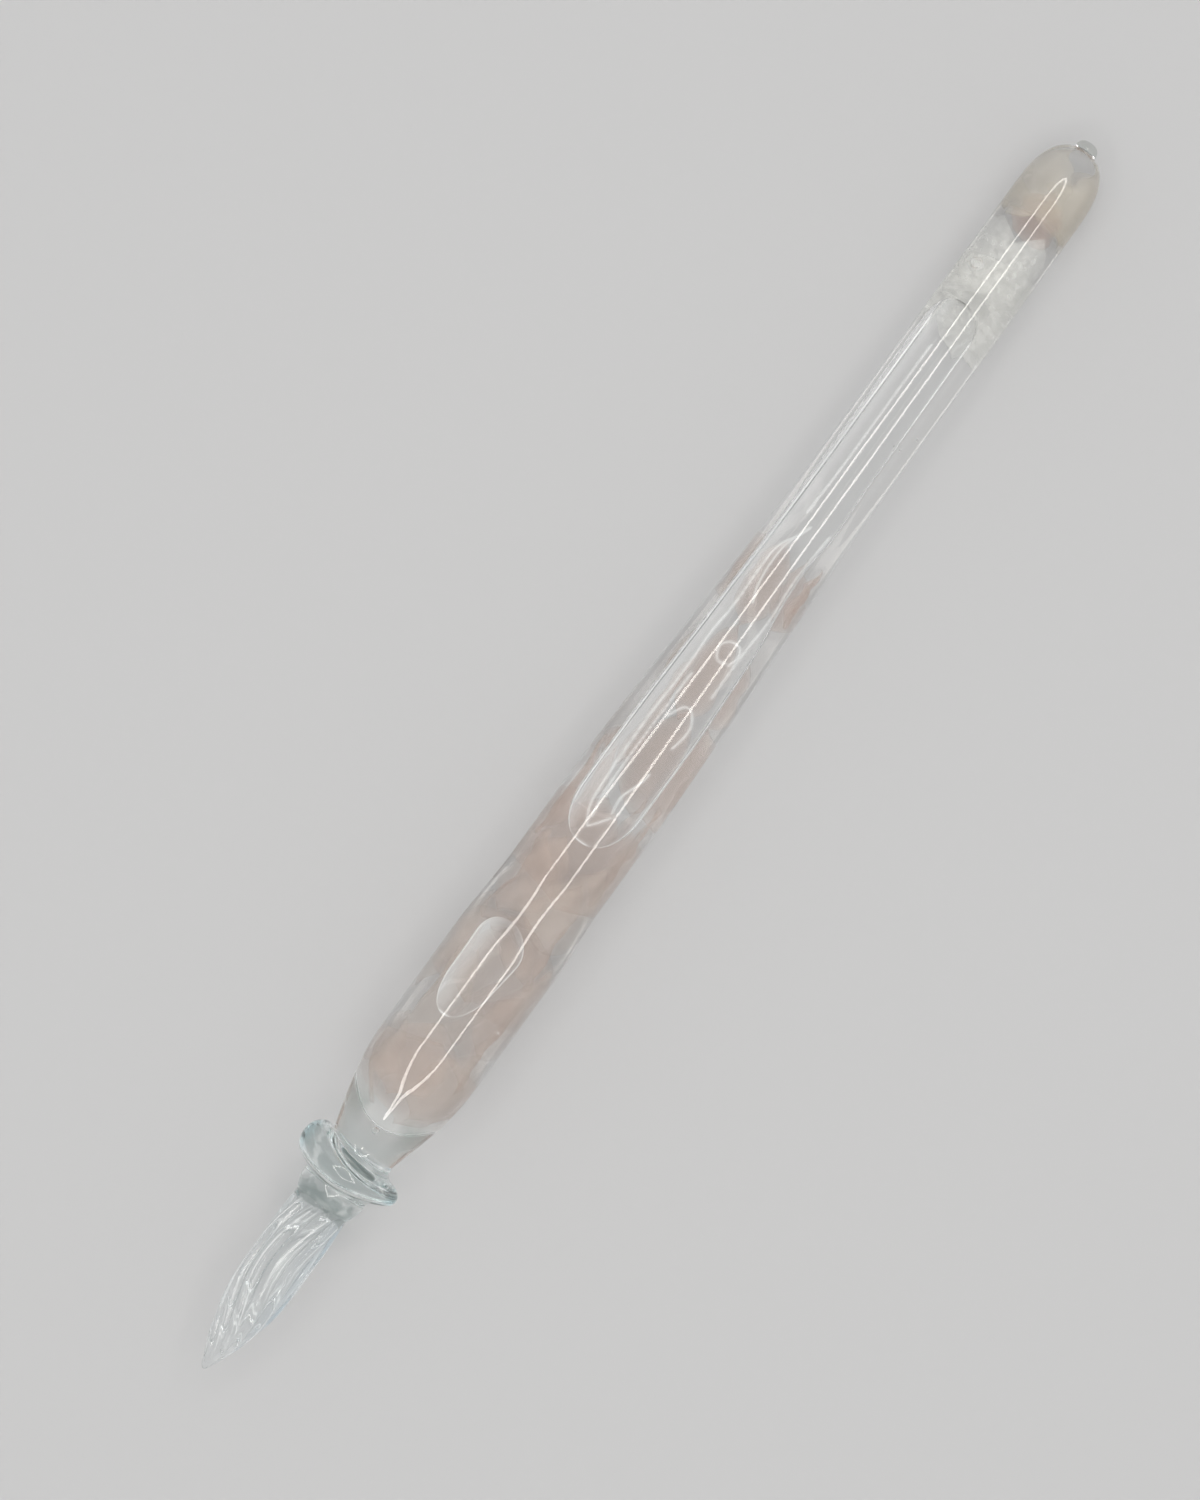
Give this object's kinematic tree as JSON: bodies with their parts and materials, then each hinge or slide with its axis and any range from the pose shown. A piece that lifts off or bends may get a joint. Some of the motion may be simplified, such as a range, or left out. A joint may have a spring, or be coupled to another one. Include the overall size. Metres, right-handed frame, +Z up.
{
  "type": "glass dip pen",
  "caption": "Flame-worked glass dip pen: fluted, swirled nib, pressed collar and a sealed hollow handle filled with clear liquid, air bubbles and dried pink petals.",
  "frame": {"origin": "on the desk under the middle of the pen's length, with the pen lying on its side on its belly and its tail", "axes": "+X along the pen from the nib's point to the tail seal, +Z up from the desk, +Y across the pen; the pen's own axis drops by 1.1 degrees towards the tail, because the tube tapers"},
  "size_m": [0.175, 0.0136, 0.014],
  "materials": {
    "clear_glass": "clear fire-polished glass of the shoulder, tube and tail seal",
    "aqua_glass": "clear glass with a faint blue-green cast, of the nib, gather and collar",
    "filling_liquid": "clear colourless mineral oil",
    "pink_petal": "dried dusty-pink petal soaked in oil, thin and translucent, with fine veins",
    "pale_petal": "dried off-white petal soaked in oil, thin and translucent, with fine veins"
  },
  "bodies": {
    "root": {"nib": "aqua_glass", "nib_gather": "aqua_glass", "collar": "aqua_glass", "shoulder": "clear_glass", "barrel_tube": "clear_glass", "tail_seal": "clear_glass", "liquid_fill": "filling_liquid", "petal_01": "pink_petal", "petal_02": "pink_petal", "petal_03": "pink_petal", "petal_04": "pink_petal", "petal_05": "pink_petal", "petal_06": "pink_petal", "petal_07": "pink_petal", "petal_08": "pink_petal", "petal_09": "pink_petal", "petal_10": "pink_petal", "petal_11": "pink_petal", "petal_12": "pink_petal", "petal_13": "pink_petal", "petal_14": "pink_petal", "petal_15": "pink_petal", "petal_16": "pink_petal", "petal_17": "pink_petal", "petal_18": "pink_petal", "petal_19": "pink_petal", "petal_20": "pink_petal", "petal_21": "pink_petal", "petal_22": "pale_petal", "petal_23": "pale_petal", "petal_24": "pale_petal", "petal_25": "pink_petal", "petal_26": "pink_petal", "petal_27": "pink_petal"}
  },
  "joints": []
}
